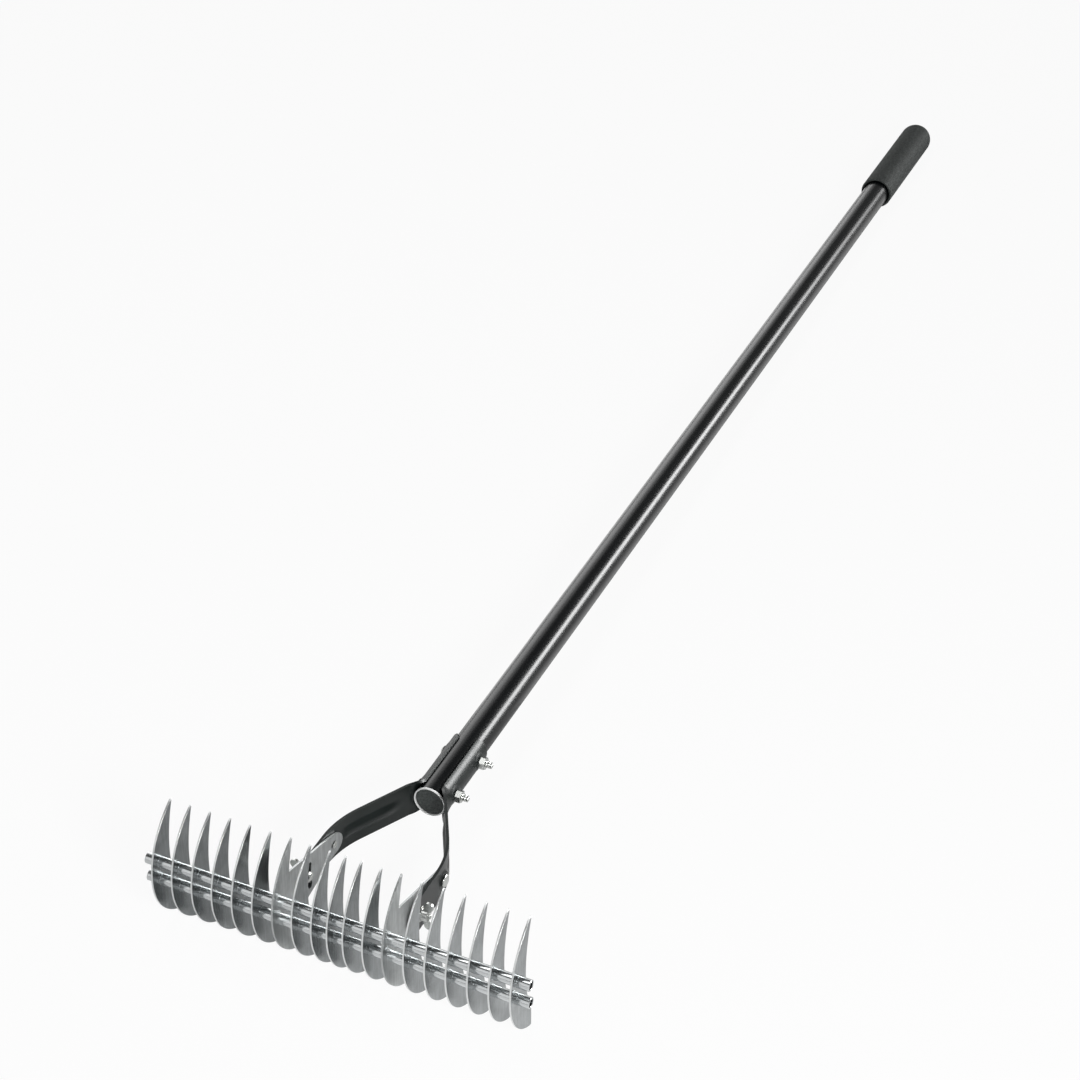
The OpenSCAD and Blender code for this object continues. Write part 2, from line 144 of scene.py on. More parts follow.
class RakeSizes(bpy.types.PropertyGroup):
    """Sizes of the finish that the solids don't carry"""
    blade_edge: size("Blade edge", "Round on the sheared edges of the blades", 0.3)
    rod_edge: size("Rod edge", "Round on the cut ends of the rods", 0.3)
    rod_wall: size("Rod wall", "Wall of the rods", 1.2)
    small_edge: size("Fastener edge", "Round on the corners of nuts and washers", 0.22)
    arm_sheet: size("Arm sheet", "Thickness of the stamped arms", 2.4)
    arm_width: size("Arm width", "Width of the stamped arms", 32)
    arm_tip: size("Arm tip", "Half width at the very end of an arm", 1.5)
    arm_bend: size("Arm bend", "Radius of the long bend of the arms", 88)
    arm_lead: size("Arm lead", "Distance ahead of the pivot at which that bend starts", 10)
    arm_turn: size("Arm turn", "Radius where an arm turns along the tube", 14)
    arm_meet: size("Arm meet", "Distance short of the tube's end at which that turn is centred", 1)
    roll_start: size("Roll start", "Distance short of the tube's end at which an arm starts to curl", 5)
    roll_end: size("Roll end", "Distance past the tube's end at which it has curled", 12)
    arm_edge: size("Arm edge", "Round on the sheared rim of the arms", 0.7)
    bead_width: size("Bead width", "Width of the pressed bead", 14)
    bead_depth: size("Bead depth", "Depth of the pressed bead", 2.3)
    bead_gap: size("Bead gap", "Distance from the bracket's tongue to the bead", 2)
    bead_rise: size("Bead rise", "Length over which the bead rises", 6)
    bead_fade: size("Bead fade", "Distance short of the tube at which the bead starts to fade", 32)
    bead_stop: size("Bead stop", "Distance short of the tube at which it has gone", 6)
    seat_depth: size("Seat depth", "Depth of the pressed seats under the nuts", 0.4)
    seat_radius: size("Seat radius", "Radius of the pressed seats", 6.5)
    seat_flank: size("Seat flank", "Width of the slope round a pressed seat", 1.6)
    shell_corner: size("Shell corner", "Radius of the corners at the shells' upper ends", 6)
    cut_edge: size("Cut edge", "Round on the cut end of the tube", 0.5)
    bare_end: size("Bare end", "Length of bare steel at the cut end of the tube", 1.6)
    plug_rim: size("Plug rim", "Round on the rim of the plug", 0.8)
    plug_dish: size("Plug dish", "Depth of the dish in the plug's face", 0.3)
    grip_mouth: size("Grip mouth", "Gap round the tube at the grip's mouth", 1.1)
    grip_mouth_depth: size("Grip mouth depth", "Depth of that gap", 5)
    cap_radius: size("Cap radius", "Radius of the low caps on the pivots", 5.6)
    cap_rim: size("Cap rim", "Round on the rim of those caps", 0.5)
    cap_neck: size("Cap neck", "Height of the neck under a pivot's cap", 0.9)
    cap_neck_radius: size("Cap neck radius", "Radius of that neck", 3.6)
    cap_height: size("Cap height", "Whole height of a pivot's cap", 3.1)
    pivot_head: size("Pivot head", "Diameter of the pivot screws' heads", 6.8)
    pivot_rise: size("Pivot rise", "Height of the pivot screws' heads", 0.7)
    pivot_sink: size("Pivot sink", "How much closer to the bracket those heads sit", 0.45)
    pivot_cover: size("Pivot cover", "Depth of a pivot screw's tip under the top of its cap", 1)
    head_height: size("Head height", "Height of the bolts' round heads", 2.6)
    shank_radius: size("Shank radius", "Radius of the bolts and screws", 3)
    slot_bolt_end: size("Slot bolt end", "Length of thread that shows past a wing nut", 2)
    thread_pitch: size("Thread pitch", "Pitch of the screw threads", 1)
    thread_depth: size("Thread depth", "Depth of the screw threads", 0.55)
    thread_stop: size("Thread stop", "Length at a bolt's tip that the thread leaves bare", 0.7)
    cast_grain: size("Cast grain", "Finest detail of the cast wing nuts", 0.3)


class RakeColours(bpy.types.PropertyGroup):
    """Colours of the finishes"""
    tube: hue("Tube enamel", "Gloss black enamel of the tube", "#080b0d")
    arm: hue("Arm enamel", "Dark enamel of the stamped arms", "#151b1a")
    arm_rim: hue("Arm rim", "Thinner enamel over the sheared rim", "#353b3a")
    blade: hue("Blade steel", "Cold-rolled sheet of the blades", "#9a9e9f")
    blade_edge: hue("Blade edge", "Fresh sheared steel", "#e4e6e6")
    bracket: hue("Bracket steel", "Satin sheet of the bracket blades", "#b9bcbc")
    rod: hue("Rod plating", "Bright plating of the rods", "#d3d6d7")
    zinc: hue("Zinc", "Zinc plating of the fasteners", "#d6d8d5")
    cut_steel: hue("Cut steel", "Bare end of the tube", "#f2f3f3")
    vinyl: hue("Vinyl", "Dipped vinyl of the grip", "#363938")
    plug: hue("Plug", "Moulded plug in the tube", "#383c3b")
    floor: hue("Floor", "Studio floor", "#ececec")


class RakeStage(bpy.types.PropertyGroup):
    """Camera and light"""
    camera_at: FloatVectorProperty(name="Camera", description="Place of the camera", unit="LENGTH",
                                   default=(0.70967, -1.98167, 1.48836))
    camera_turn: FloatVectorProperty(name="Camera turn", description="Turn of the camera", subtype="EULER",
                                     default=(radians(53.217), radians(-0.384), radians(24.0847)))
    lens: FloatProperty(name="Lens", description="Focal length on a 36 mm sensor", unit="CAMERA",
                        default=84.707)
    floor_white: share("Floor white", "Share of plain white that the camera sees in the floor", 0.93)
    floor_gloss: share("Floor gloss", "Share of plain white that reflections show in the floor", 0.16)
    # The pool is painted light: plain white that reflections see in the floor there, in place of its shade
    painted_pool_gloss: share("Pool gloss", "That share in the middle of the pool of light", 0.9)
    painted_pool_at: FloatVectorProperty(name="Pool", description="Middle of the pool of light on the floor",
                                 size=2, unit="LENGTH", default=(0.13, -0.775))
    painted_pool_reach: FloatVectorProperty(name="Pool reach", description="Half lengths of that pool",
                                    size=2, unit="LENGTH", default=(0.24, 0.13))
    wall_light: share("Wall light", "Light of the room's walls at the floor line", 0.75)
    roof_light: share("Roof light", "Light of the room overhead", 0.12)
    roof_from: share("Roof from", "Height in the sky at which overhead starts", 0.75)
    left_light: share("Left light", "Strength of the room on the left", 0.3)
    right_light: share("Right light", "Strength of the room on the right", 0.85)


# Node trees

def add(tree, kind, inputs=None, **settings):
    """Adds a node, with its settings, values and links."""
    node = tree.nodes.new(kind)
    for key, value in settings.items():
        setattr(node, key, value)
    for key, value in (inputs or {}).items():
        if isinstance(value, bpy.types.NodeSocket):
            tree.links.new(value, node.inputs[key])
        else:
            node.inputs[key].default_value = value
    return node


def finish(name, colour, roughness, metallic=0.0, **sockets):
    """A new material with one shader, its plain values on the shader's own sockets."""
    material = bpy.data.materials.new(name)
    material.use_nodes = True
    tree = material.node_tree
    shader = tree.nodes["Principled BSDF"]
    values = {"Base Color": (*colour, 1), "Roughness": roughness, "Metallic": metallic, **sockets}
    for key, value in values.items():
        shader.inputs[key].default_value = value
    return material, tree, shader


def per(mm):
    """Scale of a texture whose features are this many millimetres across."""
    return 1 / (mm * MM)


def coordinates(tree, scale=(1, 1, 1)):
    """The piece's own coordinates, stretched by a scale."""
    given = add(tree, "ShaderNodeTexCoord")
    return add(tree, "ShaderNodeMapping", {0: given.outputs["Object"], "Scale": scale}).outputs[0]


def vary(tree, shader, socket, fac, low, high):
    """Lets a pattern move one of the shader's values between two limits."""
    ranged = add(tree, "ShaderNodeMapRange", {"Value": fac, "To Min": low, "To Max": high})
    tree.links.new(ranged.outputs[0], shader.inputs[socket])


def tint(tree, shader, fac, low, high, start=0.0, end=1.0):
    """Lets a pattern mix two colours, from one value of it to another."""
    mixed = add(tree, "ShaderNodeValToRGB", {"Fac": fac})
    for element, colour, position in zip(mixed.color_ramp.elements, (low, high), (start, end)):
        element.color = (*colour, 1)
        element.position = position
    tree.links.new(mixed.outputs[0], shader.inputs["Base Color"])


def relief(tree, shader, height, depth_mm, strength=1.0):
    """Lets a pattern raise the surface by a depth in millimetres."""
    bump = add(tree, "ShaderNodeBump", {"Height": height, "Distance": depth_mm * MM, "Strength": strength})
    tree.links.new(bump.outputs[0], shader.inputs["Normal"])


def shade(colour, by):
    """A colour made darker or paler."""
    return tuple(part * by for part in colour)


# Materials

def gloss_enamel(colours):
    # Baked enamel on drawn tube: near black and glossy, with faint wipe marks 45 mm long
    # and a peel drawn 12 mm across so that it shows
    material, tree, shader = finish("Baked gloss enamel", colours.tube, 0.26, IOR=1.42)
    peel = add(tree, "ShaderNodeTexNoise", {"Vector": coordinates(tree), "Scale": per(12), "Detail": 1.0})
    wipe = add(tree, "ShaderNodeTexNoise", {"Vector": coordinates(tree), "Scale": per(45), "Detail": 4.0})
    vary(tree, shader, "Roughness", wipe.outputs[0], 0.22, 0.3)
    tint(tree, shader, wipe.outputs[0], shade(colours.tube, 0.85), shade(colours.tube, 1.2))
    relief(tree, shader, peel.outputs[0], 0.002)
    return material


def satin_enamel(colour, name="Dipped satin enamel", low=0.26, high=0.38):
    # Dipped enamel on stamped sheet: dark, half gloss, with a coarser skin and slight pooling
    material, tree, shader = finish(name, colour, (low + high) / 2, IOR=1.4)
    skin = add(tree, "ShaderNodeTexNoise", {"Vector": coordinates(tree), "Scale": per(1.6), "Detail": 2.0})
    pool = add(tree, "ShaderNodeTexNoise", {"Vector": coordinates(tree), "Scale": per(18), "Detail": 5.0})
    vary(tree, shader, "Roughness", pool.outputs[0], low, high)
    tint(tree, shader, pool.outputs[0], shade(colour, 0.8), shade(colour, 1.25))
    relief(tree, shader, skin.outputs[0], 0.02)
    return material


def rolled_steel(colour, name="Cold-rolled sheet steel", low=0.16, high=0.3):
    # Rolled and linished: fine upright grain, drawn 1.1 mm wide so that it shows, over a soft cloudiness
    material, tree, shader = finish(name, colour, (low + high) / 2, 1.0)
    grain = add(tree, "ShaderNodeTexNoise",
                {"Vector": coordinates(tree, (per(20), per(1.1), per(40))), "Scale": 1.0, "Detail": 4.0})
    cloud = add(tree, "ShaderNodeTexNoise", {"Vector": coordinates(tree), "Scale": per(14), "Detail": 3.0})
    look = add(tree, "ShaderNodeMix", {0: 0.6, 2: cloud.outputs[0], 3: grain.outputs[0]})
    vary(tree, shader, "Roughness", grain.outputs[0], low, high)
    tint(tree, shader, look.outputs[0], shade(colour, 0.74), shade(colour, 1.14), 0.36, 0.64)
    relief(tree, shader, grain.outputs[0], 0.008)
    return material


def sheared_edge(colours):
    # Sheared edge of the sheet: bright, with short drag marks across the thickness
    material, tree, shader = finish("Sheared steel edge", colours.blade_edge, 0.33, 1.0)
    drag = add(tree, "ShaderNodeTexNoise",
               {"Vector": coordinates(tree, (per(3), per(0.6), per(0.6))), "Scale": 1.0, "Detail": 2.0})
    vary(tree, shader, "Roughness", drag.outputs[0], 0.25, 0.42)
    tint(tree, shader, drag.outputs[0], shade(colours.blade_edge, 0.9), colours.blade_edge)
    return material


def bright_plating(colours):
    # Bright nickel-zinc plating on drawn tube: a soft mirror, with long draw lines along the rod
    material, tree, shader = finish("Bright plated tube", colours.rod, 0.18, 1.0)
    draw = add(tree, "ShaderNodeTexNoise",
               {"Vector": coordinates(tree, (per(60), per(0.7), per(0.7))), "Scale": 1.0, "Detail": 3.0})
    vary(tree, shader, "Roughness", draw.outputs[0], 0.12, 0.24)
    tint(tree, shader, draw.outputs[0], shade(colours.rod, 0.9), colours.rod)
    relief(tree, shader, draw.outputs[0], 0.004)
    return material


def zinc_plate(colours, name="Bright zinc plate", low=0.14, high=0.3):
    # Tumbled zinc plate: bright, with a faint mottle 1.2 mm across
    material, tree, shader = finish(name, colours.zinc, (low + high) / 2, 1.0)
    mottle = add(tree, "ShaderNodeTexNoise",
                 {"Vector": coordinates(tree), "Scale": per(1.2), "Detail": 3.0})
    vary(tree, shader, "Roughness", mottle.outputs[0], low, high)
    tint(tree, shader, mottle.outputs[0], shade(colours.zinc, 0.86), colours.zinc)
    relief(tree, shader, mottle.outputs[0], 0.006)
    return material


def cut_steel(colours):
    # Sawn end of the tube: bare steel, bright but scattered by fine saw lines and burrs
    material, tree, shader = finish("Sawn steel", colours.cut_steel, 0.55, 0.3)
    saw = add(tree, "ShaderNodeTexNoise",
              {"Vector": coordinates(tree, (per(0.4), per(5), per(4))), "Scale": 1.0, "Detail": 2.0})
    vary(tree, shader, "Roughness", saw.outputs[0], 0.45, 0.65)
    tint(tree, shader, saw.outputs[0], shade(colours.cut_steel, 0.9), colours.cut_steel)
    return material


def dipped_vinyl(colours):
    # Dipped vinyl: matte, with a pebble drawn 2 mm across so that it shows, and paler worn crests
    material, tree, shader = finish("Pebbled dipped vinyl", colours.vinyl, 0.63,
                                    **{"IOR": 1.45, "Specular IOR Level": 0.12})
    pebble = add(tree, "ShaderNodeTexVoronoi",
                 {"Vector": coordinates(tree), "Scale": per(2), "Smoothness": 0.6}, feature="SMOOTH_F1")
    wear = add(tree, "ShaderNodeTexNoise",
               {"Vector": coordinates(tree), "Scale": per(2), "Detail": 5.0, "Roughness": 0.7})
    height = add(tree, "ShaderNodeMath", {0: wear.outputs[0], 1: pebble.outputs[0]}, operation="SUBTRACT")
    vary(tree, shader, "Roughness", wear.outputs[0], 0.52, 0.74)
    tint(tree, shader, wear.outputs[0], shade(colours.vinyl, 0.5), shade(colours.vinyl, 1.8), 0.3, 0.72)
    relief(tree, shader, height.outputs[0], 0.25, 0.8)
    return material


def moulded_plug(colours):
    # Moulded polythene with a spark-eroded face: matte and speckled, drawn 1.4 mm across so that it shows
    material, tree, shader = finish("Moulded polythene", colours.plug, 0.61, IOR=1.5)
    speck = add(tree, "ShaderNodeTexNoise",
                {"Vector": coordinates(tree), "Scale": per(1.4), "Detail": 6.0, "Roughness": 0.75})
    vary(tree, shader, "Roughness", speck.outputs[0], 0.5, 0.72)
    tint(tree, shader, speck.outputs[0], shade(colours.plug, 0.35), shade(colours.plug, 2.2), 0.35, 0.68)
    relief(tree, shader, speck.outputs[0], 0.08, 0.8)
    return material


# Meshes

def smooth(mesh, angle=40):
    """Smooth shading that keeps edges sharper than an angle in degrees."""
    mesh.shade_smooth()
    mesh.set_sharp_from_angle(angle=radians(angle))
    return mesh


def piece(name, mesh, materials):
    """An object from a mesh; materials are set by index, so that faces keep their slots."""
    mesh.name = name
    for index, material in enumerate(materials):
        if index < len(mesh.materials):
            mesh.materials[index] = material
        else:
            mesh.materials.append(material)
    made = bpy.data.objects.new(name, mesh)
    bpy.context.scene.collection.objects.link(made)
    return made


def applied(made):
    """Turns a piece's modifiers into plain mesh."""
    depsgraph = bpy.context.evaluated_depsgraph_get()
    mesh = bpy.data.meshes.new_from_object(made.evaluated_get(depsgraph))
    made.modifiers.clear()
    made.data = mesh
    return made


def place(made, body, slot, *nodes):
    """Sets a finished piece on its body, in place of its solids."""
    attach(made, body)
    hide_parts(*nodes)


def copy_of(node):
    """The solid's surface as one joined skin with whole flat faces."""
    mesh = frame["nodes"][node].data.copy()
    skin = bmesh.new()
    skin.from_mesh(mesh)
    bmesh.ops.remove_doubles(skin, verts=skin.verts, dist=MERGE_DISTANCE)
    bmesh.ops.dissolve_limit(skin, angle_limit=FLAT_BEND, verts=skin.verts, edges=skin.edges)
    for face in skin.faces:
        face.material_index = 0
    skin.to_mesh(mesh)
    skin.free()
    stale = ("custom_normal", "sharp_face", "sharp_edge")
    for name in [attribute.name for attribute in mesh.attributes if attribute.name in stale]:
        mesh.attributes.remove(mesh.attributes[name])
    mesh.shade_smooth()
    return mesh


def eased(node, name, edge, materials, angle=30):
    """A copy of a solid with its corners rounded; the last material goes on the rounds."""
    made = piece(name, copy_of(node), materials)
    bevel = made.modifiers.new("Eased corners", "BEVEL")
    bevel.width = edge
    bevel.segments = 2
    bevel.limit_method = "ANGLE"
    bevel.angle_limit = radians(angle)
    bevel.use_clamp_overlap = True
    bevel.harden_normals = True
    bevel.material = len(materials) - 1
    return applied(made)


def turned(name, rings, materials, frame_of, slots=None, steps=96):
    """A closed form turned about a frame's +Y axis, from (radius, place) rings; radius 0 makes a pole."""
    form = bmesh.new()
    angles = [2 * pi * k / steps for k in range(steps)]
    rows = []
    for radius, along in rings:
        if radius == 0:
            rows.append([form.verts.new((0, along, 0))])
        else:
            rows.append([form.verts.new((radius * cos(a), along, radius * sin(a))) for a in angles])
    pairs = list(zip(rows, rows[1:]))
    if rings[0][0] != 0:
        pairs.append((rows[-1], rows[0]))
    for index, (low, high) in enumerate(pairs):
        for k in range(steps):
            n = (k + 1) % steps
            corners = [low[k % len(low)], low[n % len(low)], high[n % len(high)], high[k % len(high)]]
            face = form.faces.new(list(dict.fromkeys(corners)))
            face.material_index = slots[index] if slots else 0
    bmesh.ops.recalc_face_normals(form, faces=form.faces)
    mesh = bpy.data.meshes.new(name)
    form.to_mesh(mesh)
    form.free()
    mesh.transform(frame_of)
    return piece(name, smooth(mesh), materials)


def arc(across, along, radius, start, end, steps):
    """Points (radius, place) on an arc, in degrees."""
    angles = [radians(start + (end - start) * k / steps) for k in range(steps + 1)]
    return [(across + radius * cos(a), along + radius * sin(a)) for a in angles]


def along_x(x, y, z, side):
    """Frame whose +Y points away from the middle of the rake, at a point of the handle's frame."""
    return HANDLE @ Matrix.Translation((x, y, z)) @ Matrix.Rotation(-side * pi / 2, 4, "Z")


# Pieces

class RAKE_OT_tube(bpy.types.Operator):
    """Enamelled tube with its sawn end and the plug inside it"""
    bl_idname = "rake.tube"
    bl_label = "Handle tube"

    def execute(self, context):
        sizes, colours = context.scene.rake_sizes, context.scene.rake_colours
        low, high = span("handle_tube")
        plug_low, plug_high = span("end_plug")
        radius, bore, edge = high.x, plug_high.x, sizes.cut_edge
        bare = low.y + sizes.bare_end
        lip = arc(bore + edge, low.y + edge, edge, 180, 270, 5)
        lip += arc(radius - edge, low.y + edge, edge, 270, 360, 5)
        rings = [(bore, high.y), (bore, bare), *lip, (radius, bare), (radius, high.y)]
        # Enamel everywhere, bare steel on the stretch that holds the lip
        slots = [0] + [1] * (len(lip) + 1) + [0, 0]
        tube = turned("tube", rings, [gloss_enamel(colours), cut_steel(colours)], HANDLE, slots, 128)
        place(tube, "handle", "tube_paint", "handle_tube")
        radius, rim = plug_high.x, sizes.plug_rim
        dish = plug_low.y + sizes.plug_dish
        rings = [(0, dish), (radius - 4 * rim, dish), (radius - 3 * rim, plug_low.y)]
        rings += arc(radius - rim, plug_low.y + rim, rim, -90, 0, 6)
        rings += [(radius, plug_high.y), (0, plug_high.y)]
        plug = turned("tube_plug", rings, [moulded_plug(colours)], HANDLE)
        place(plug, "handle", "plug", "end_plug")
        return {"FINISHED"}


class RAKE_OT_grip(bpy.types.Operator):
    """Vinyl sleeve with a domed end and an open mouth"""
    bl_idname = "rake.grip"
    bl_label = "Grip"

    def execute(self, context):
        sizes, colours = context.scene.rake_sizes, context.scene.rake_colours
        low, high = span("grip")
        tube_high = span("handle_tube")[1]
        radius, bore = high.x, tube_high.x + GRIP_BORE_GAP
        mouth, depth = sizes.grip_mouth, sizes.grip_mouth_depth
        lip = (radius - bore - mouth) / 2
        dome = high.y - radius
        floor = tube_high.y + GRIP_END_GAP
        rings = [(0, floor), (bore, floor), (bore, low.y + depth)]
        rings += [(bore + mouth, low.y + depth * MOUTH_OPEN)]
        rings += arc(radius - lip, low.y + lip, lip, 180, 360, 12)
        rings += [(radius, low.y + (dome - low.y) * k / 8) for k in range(1, 8)]
        rings += arc(0, dome, radius - GRIP_INSET, 0, 88, 22)
        rings += [(0, high.y - GRIP_INSET)]
        grip = turned("grip_sleeve", rings, [dipped_vinyl(colours)], HANDLE)
        place(grip, "handle", "grip", "grip")
        return {"FINISHED"}


def ramp(x, low, high):
    """Smooth step from 0 to 1 between two values."""
    t = min(max((x - low) / (high - low), 0), 1)
    return t * t * (3 - 2 * t)


def seat_at(y, z, sizes):
    """1 inside a round seat, 0 outside it, with a short flank between."""
    return 1 - ramp(hypot(y, z), sizes.seat_radius, sizes.seat_radius + sizes.seat_flank)


def arm_line(sizes, mid, bolt, meet, end, tube_mid):
    """Mid line of an arm in plan, from its round end to the shell's end, and where it meets the tube.

    Each point of it comes with its inward normal and the length so far.
    """
    bend, turn, start = sizes.arm_bend, sizes.arm_turn, -sizes.arm_lead
    reach = Vector((tube_mid - mid + bend, meet - start))
    angle = atan2(reach.y, reach.x) - acos(bend / reach.length)
    tangent = turn * tan(angle / 2)
    run = sqrt(reach.length_squared - bend * bend) - tangent
    at = Vector((mid, bolt - sizes.arm_width / 2))
    stretches = ((start - at.y, 0), (bend * angle, angle), (run, 0), (turn * angle, -angle),
                 (end - meet - tangent, 0))
    way, gone, line = 0.0, 0.0, []
    for length, swing in stretches:
        count = max(ARM_LEAST_ROWS, int(length / ARM_ROW))
        for _ in range(count):
            line.append((at.copy(), Vector((-cos(way), -sin(way))), gone))
            way += swing / count / 2
            at += Vector((-sin(way), cos(way))) * length / count
            way += swing / count / 2
            gone += length / count
    line.append((at.copy(), Vector((-cos(way), -sin(way))), gone))
    return line, gone - (end - meet)


def half_width(gone, left, sizes):
    """Half the width of an arm's sheet, a length from its round end and a length short of its other end."""
    half, corner = sizes.arm_width / 2, sizes.shell_corner
    if gone < half:
        return sqrt(max(half ** 2 - (half - gone) ** 2, sizes.arm_tip ** 2))
    if left < corner:
        return half - corner + sqrt(corner ** 2 - (corner - left) ** 2)
    return half


def arm_rows(sizes):
    """Rows of points over the right arm's sheet, halfway through its thickness, in the handle's frame."""
    sheet = sizes.arm_sheet
    bolt_low, bolt_high = span("right_slot_bolt")
    tube_low, tube_high = span("handle_tube")
    mid = span("right_wing_washer")[0].x - sheet / 2
    pivot_mid = span("right_pivot_nut")[0].x - sheet / 2
    tube_mid = tube_high.x + sheet / 2
    line, run_end = arm_line(sizes, mid, (bolt_low.y + bolt_high.y) / 2, tube_low.y - sizes.arm_meet,
                             span("right_arm")[1].y, tube_mid)
    seats = [sum(corner.y for corner in span("clamp_nut_" + where)) / 2 for where in ("lower", "upper")]
    bead_from = span("right_bracket")[1].y + sizes.bead_gap
    total = line[-1][2]
    rows = []
    for at, inward, gone in line:
        width = half_width(gone, total - gone, sizes)
        curl = ramp(at.y, tube_low.y - sizes.roll_start, tube_low.y + sizes.roll_end) / tube_mid
        depth = sizes.bead_depth * ramp(at.y, bead_from, bead_from + sizes.bead_rise)
        depth *= 1 - ramp(gone, run_end - sizes.bead_fade, run_end - sizes.bead_stop)
        row = []
        for k in range(ARM_COLUMNS + 1):
            a = width * (2 * k / ARM_COLUMNS - 1)
            across, drop = a, 0.0
            if curl > STRAIGHT:
                across, drop = sin(curl * a) / curl, (1 - cos(curl * a)) / curl
            bead = depth * (1 - ramp(abs(a), 0, sizes.bead_width / 2))
            seat = max(seat_at(at.y - y, a, sizes) for y in seats)
            spot = at + inward * (drop + bead - sizes.seat_depth * seat)
            spot.x += (pivot_mid - spot.x) * seat_at(at.y, a, sizes)
            row.append((spot.x, spot.y, across))
        rows.append(row)
    return rows


def arm_skin(name, rows, side):
    """Skin through an arm's rows of points, on one side of the rake."""
    skin = bmesh.new()
    rows = [[skin.verts.new((side * x, y, z)) for x, y, z in row] for row in rows]
    for low, high in zip(rows, rows[1:]):
        for k in range(ARM_COLUMNS):
            skin.faces.new((low[k], low[k + 1], high[k + 1], high[k]))
    bmesh.ops.recalc_face_normals(skin, faces=skin.faces)
    mesh = bpy.data.meshes.new(name)
    skin.to_mesh(mesh)
    skin.free()
    mesh.transform(HANDLE)
    mesh.shade_smooth()
    return mesh


class RAKE_OT_arms(bpy.types.Operator):
    """Stamped arms: flat and round past the pivot, beaded through the bend, rolled round the tube"""
    bl_idname = "rake.arms"
    bl_label = "Arms"

    def execute(self, context):
        sizes, colours = context.scene.rake_sizes, context.scene.rake_colours
        rows = arm_rows(sizes)
        materials = [satin_enamel(colours.arm),
                     satin_enamel(colours.arm_rim, "Thin enamel on the rim", 0.28, 0.4)]
        for name, side in SIDES.items():
            arm = piece(name + "_stamped_arm", arm_skin(name, rows, side), materials)
            wall = arm.modifiers.new("Sheet", "SOLIDIFY")
            wall.thickness = sizes.arm_sheet
            wall.offset = 0
            wall.use_even_offset = True
            rim = arm.modifiers.new("Rim", "BEVEL")
            rim.width = sizes.arm_edge
            rim.segments = 3
            rim.limit_method = "ANGLE"
            rim.angle_limit = radians(60)
            rim.harden_normals = True
            rim.material = 1
            place(applied(arm), "handle", "arm_paint", name + "_arm")
        return {"FINISHED"}


def blade_row(material, edge_material):
    """Node tree that stands one blade at each point of a row."""
    tree = bpy.data.node_groups.new("Blade row", "GeometryNodeTree")
    for name, kind, way in (("Row", "Geometry", "INPUT"), ("Blade", "Object", "INPUT"),
                            ("Face limit", "Float", "INPUT"), ("Blades", "Geometry", "OUTPUT")):
        tree.interface.new_socket(name, in_out=way, socket_type="NodeSocket" + kind)
    given = add(tree, "NodeGroupInput")
    one = add(tree, "GeometryNodeObjectInfo", {"Object": given.outputs["Blade"]})
    row = add(tree, "GeometryNodeInstanceOnPoints",
              {"Points": given.outputs["Row"], "Instance": one.outputs["Geometry"]})
    real = add(tree, "GeometryNodeRealizeInstances", {"Geometry": row.outputs[0]})
    normal = add(tree, "ShaderNodeSeparateXYZ", {0: add(tree, "GeometryNodeInputNormal").outputs[0]})
    sideways = add(tree, "ShaderNodeMath", {0: normal.outputs["X"]}, operation="ABSOLUTE")
    edge = add(tree, "FunctionNodeCompare", {"A": sideways.outputs[0], "B": given.outputs["Face limit"]},
               operation="LESS_THAN")
    faces = add(tree, "GeometryNodeSetMaterial", {"Geometry": real.outputs[0], "Material": material})
    edges = add(tree, "GeometryNodeSetMaterial",
                {"Geometry": faces.outputs[0], "Selection": edge.outputs[0], "Material": edge_material})
    add(tree, "NodeGroupOutput", {0: edges.outputs[0]})
    return tree


def run_tree(made, tree, **values):
    """Runs a node tree on a piece and keeps the result as plain mesh."""
    modifier = made.modifiers.new(tree.name, "NODES")
    modifier.node_group = tree
    for item in tree.interface.items_tree:
        key = item.name.replace(" ", "_")
        if item.in_out == "INPUT" and key in values:
            modifier[item.identifier] = values[key]
    return applied(made)


class RAKE_OT_blades(bpy.types.Operator):
    """Crescent blades, one eased blade stood at every place of the row, and the two bracket blades"""
    bl_idname = "rake.blades"
    bl_label = "Blades"

    def execute(self, context):
        sizes, colours = context.scene.rake_sizes, context.scene.rake_colours
        steel, edge = rolled_steel(colours.blade), sheared_edge(colours)
        middle = len(BLADES) // 2
        one = eased(BLADES[middle], "one_blade", sizes.blade_edge, [steel, edge])
        places = [sum(corner.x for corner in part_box(node)) / 2 for node in BLADES]
        points = bpy.data.meshes.new("row")
        points.from_pydata([(x - places[middle], 0, 0) for x in places], [], [])
        row = piece("blades", points, [steel, edge])
        run_tree(row, blade_row(steel, edge), Blade=one, Face_limit=FACE_LIMIT)
        bpy.data.objects.remove(one)
        place(row, "head", "blade_steel", *BLADES)
        satin = rolled_steel(colours.bracket, "Satin sheet steel", 0.3, 0.46)
        for name in SIDES:
            bracket = eased(name + "_bracket", name + "_bracket_blade", sizes.blade_edge, [satin, edge])
            place(bracket, "head", "blade_steel", name + "_bracket")
        return {"FINISHED"}


class RAKE_OT_rods(bpy.types.Operator):
    """Plated tubes that carry the blades"""
    bl_idname = "rake.rods"
    bl_label = "Rods"

    def execute(self, context):
        sizes, colours = context.scene.rake_sizes, context.scene.rake_colours
        plating = bright_plating(colours)
        edge = sizes.rod_edge
        for node in ("upper_rod", "lower_rod"):
            low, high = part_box(node)
            middle, half = (low + high) / 2, high.x
            radius = (high.z - low.z) / 2
            bore = radius - sizes.rod_wall
            rings = [(bore, edge - half), (bore + edge, -half), (radius - edge, -half)]
            rings += [(radius, edge - half), (radius, half - edge)]
            rings += [(radius - edge, half), (bore + edge, half), (bore, half - edge)]
            turn = Matrix.Translation((0, middle.y, middle.z)) @ Matrix.Rotation(-pi / 2, 4, "Z")
            rod = turned(node + "_tube", rings, [plating], turn, steps=64)
            place(rod, "head", "rod_plate", node)
        return {"FINISHED"}


